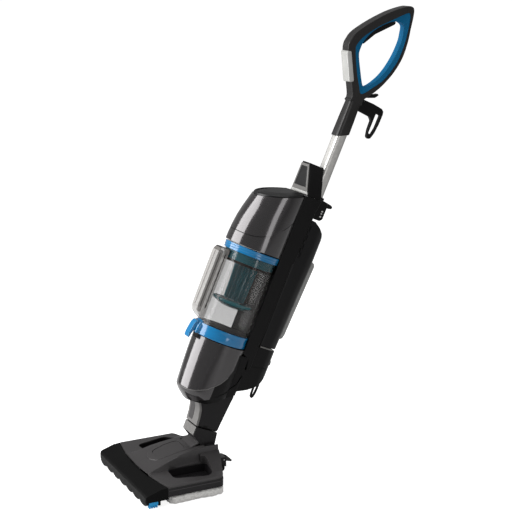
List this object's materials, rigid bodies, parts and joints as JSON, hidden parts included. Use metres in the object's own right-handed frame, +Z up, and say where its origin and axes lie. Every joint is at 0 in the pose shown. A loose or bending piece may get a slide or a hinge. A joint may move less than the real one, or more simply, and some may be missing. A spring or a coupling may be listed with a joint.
{
  "type": "wet dry floor cleaner",
  "caption": "Upright floor cleaner with suction nozzle, steam mop pad, clear dirt tank, rear water tank, tube and loop handle.",
  "frame": {"origin": "on the floor, at the middle of the mop pad's sole", "axes": "+Z up, -Y is the front where the nozzle is, +X is across; the body leans back 24 degrees from +Z towards +Y at rest"},
  "size_m": [0.3, 0.7668, 1.0716],
  "materials": {
    "charcoal_gloss": "gloss metallic charcoal",
    "black_plastic": "fine-grained black",
    "dark_grey_plastic": "satin dark grey",
    "mid_grey_plastic": "satin mid grey",
    "light_grey_plastic": "satin light grey",
    "bright_blue_plastic": "gloss bright blue",
    "soft_blue_rubber": "soft matte blue",
    "teal_plastic": "translucent teal",
    "clear_tank": "clear with a grey tint",
    "smoke_tank": "smoky translucent",
    "silver_tube": "satin silver",
    "silver_panel": "silver paint",
    "soft_black": "soft black rubber",
    "steel": "brushed",
    "boiler_metal": "cast",
    "motor_metal": "pressed",
    "foam": "open foam",
    "microfibre": "plush off-white"
  },
  "bodies": {
    "floor_head": {"head_base": "dark_grey_plastic", "head_cover": "mid_grey_plastic", "hump_panel": "mid_grey_plastic", "nozzle_housing": "dark_grey_plastic", "nozzle_lip": "soft_black", "edge_strips": "soft_blue_rubber", "head_duct": "black_plastic", "pins_and_axle": "steel", "head_screws": "steel"},
    "wheel_left": {"wheel_left": "soft_black"},
    "wheel_right": {"wheel_right": "soft_black"},
    "mop_carrier": {"mop_tray": "dark_grey_plastic", "mop_pad": "microfibre"},
    "tray_pedal": {"tray_pedal": "mid_grey_plastic"},
    "neck_yoke": {"neck_yoke": "dark_grey_plastic", "yoke_front_strip": "light_grey_plastic", "swivel_bush": "black_plastic"},
    "upper_body": {"neck_upper": "dark_grey_plastic", "neck_front_strip": "light_grey_plastic", "lower_shell": "charcoal_gloss", "chin_band": "black_plastic", "chin_floor": "black_plastic", "spine_frame": "black_plastic", "rear_case": "black_plastic", "boiler": "boiler_metal", "water_pump": "black_plastic", "suction_pipe": "black_plastic", "upper_skirt": "charcoal_gloss", "upper_shell": "charcoal_gloss", "top_cap": "charcoal_gloss", "motor_can": "motor_metal", "motor_filter": "foam", "tube_housing": "black_plastic", "badge_plate": "mid_grey_plastic", "tube": "silver_tube", "latch_block": "black_plastic", "lower_cord_hook": "black_plastic", "cord_gland": "soft_black", "handle_left": "charcoal_gloss", "handle_right": "charcoal_gloss", "grip_liner": "bright_blue_plastic", "control_panel": "silver_panel", "cord_clip": "black_plastic"},
    "fan_rotor": {"fan_rotor": "motor_metal"},
    "dirt_tank": {"tank_cup": "clear_tank", "tank_lid": "bright_blue_plastic", "filter_flange": "teal_plastic", "cyclone_core": "teal_plastic", "separator_disk": "teal_plastic", "tank_base_ring": "bright_blue_plastic", "tank_grip": "clear_tank"},
    "tank_latch": {"tank_latch": "bright_blue_plastic"},
    "water_tank": {"water_tank": "smoke_tank", "water_window": "smoke_tank"},
    "water_cap": {"water_cap": "black_plastic"},
    "water_lever": {"water_lever": "black_plastic"},
    "steam_trigger": {"steam_trigger": "soft_black"},
    "vacuum_button": {"vacuum_button": "silver_panel"},
    "steam_button": {"steam_button": "silver_panel"},
    "cord_hook": {"cord_hook": "black_plastic"}
  },
  "joints": [
    {"name": "recline", "type": "hinge", "parent": "floor_head", "child": "neck_yoke", "pos_m": [0, 0.0805, 0.064], "axis": [-1, 0, 0], "range_deg": [-24, 55]},
    {"name": "steer", "type": "hinge", "parent": "neck_yoke", "child": "upper_body", "pos_m": [0, 0.07565, 0.11328], "axis": [0, 0.4067, 0.9135], "range_deg": [-35, 35]},
    {"name": "wheel_left_spin", "type": "hinge", "parent": "floor_head", "child": "wheel_left", "pos_m": [-0.026, 0.1115, 0.01], "axis": [1, 0, 0], "continuous": true},
    {"name": "wheel_right_spin", "type": "hinge", "parent": "floor_head", "child": "wheel_right", "pos_m": [0.026, 0.1115, 0.01], "axis": [1, 0, 0], "continuous": true},
    {"name": "mop_release", "type": "slide", "parent": "floor_head", "child": "mop_carrier", "axis": [0, 0, -1], "range_m": [0, 0.03]},
    {"name": "pedal_press", "type": "hinge", "parent": "floor_head", "child": "tray_pedal", "pos_m": [0, 0.1245, 0.025], "axis": [-1, 0, 0], "range_deg": [0, 10], "stiffness_Nm_per_rad": 0.6},
    {"name": "fan_spin", "type": "hinge", "parent": "upper_body", "child": "fan_rotor", "pos_m": [0, 0.2254, 0.5578], "axis": [0, 0.4067, 0.9135], "continuous": true},
    {"name": "dirt_tank_remove", "type": "slide", "parent": "upper_body", "child": "dirt_tank", "axis": [0, -0.9135, 0.4067], "range_m": [0, 0.12]},
    {"name": "tank_latch_press", "type": "hinge", "parent": "dirt_tank", "child": "tank_latch", "pos_m": [0, 0.06191, 0.37007], "axis": [1, 0, 0], "range_deg": [0, 8], "stiffness_Nm_per_rad": 0.4},
    {"name": "water_tank_remove", "type": "slide", "parent": "upper_body", "child": "water_tank", "axis": [0, 0.9135, -0.4067], "range_m": [0, 0.1]},
    {"name": "water_cap_turn", "type": "hinge", "parent": "water_tank", "child": "water_cap", "pos_m": [0, 0.24005, 0.29076], "axis": [0, 0.4067, 0.9135], "range_deg": [0, 90]},
    {"name": "water_lever_lift", "type": "hinge", "parent": "upper_body", "child": "water_lever", "pos_m": [0, 0.38881, 0.6175], "axis": [1, 0, 0], "range_deg": [0, 18], "stiffness_Nm_per_rad": 0.4},
    {"name": "trigger_squeeze", "type": "hinge", "parent": "upper_body", "child": "steam_trigger", "pos_m": [0, 0.57306, 1.03134], "axis": [-1, 0, 0], "range_deg": [0, 2.8], "stiffness_Nm_per_rad": 1.5},
    {"name": "vacuum_button_press", "type": "slide", "parent": "upper_body", "child": "vacuum_button", "axis": [0, 0.9843, 0.1764], "range_m": [0, 0.001], "stiffness_N_per_m": 500},
    {"name": "steam_button_press", "type": "slide", "parent": "upper_body", "child": "steam_button", "axis": [0, 0.9843, 0.1764], "range_m": [0, 0.001], "stiffness_N_per_m": 500},
    {"name": "cord_hook_turn", "type": "hinge", "parent": "upper_body", "child": "cord_hook", "pos_m": [0, 0.49994, 0.84497], "axis": [0, 0.9135, -0.4067], "range_deg": [0, 180]}
  ]
}
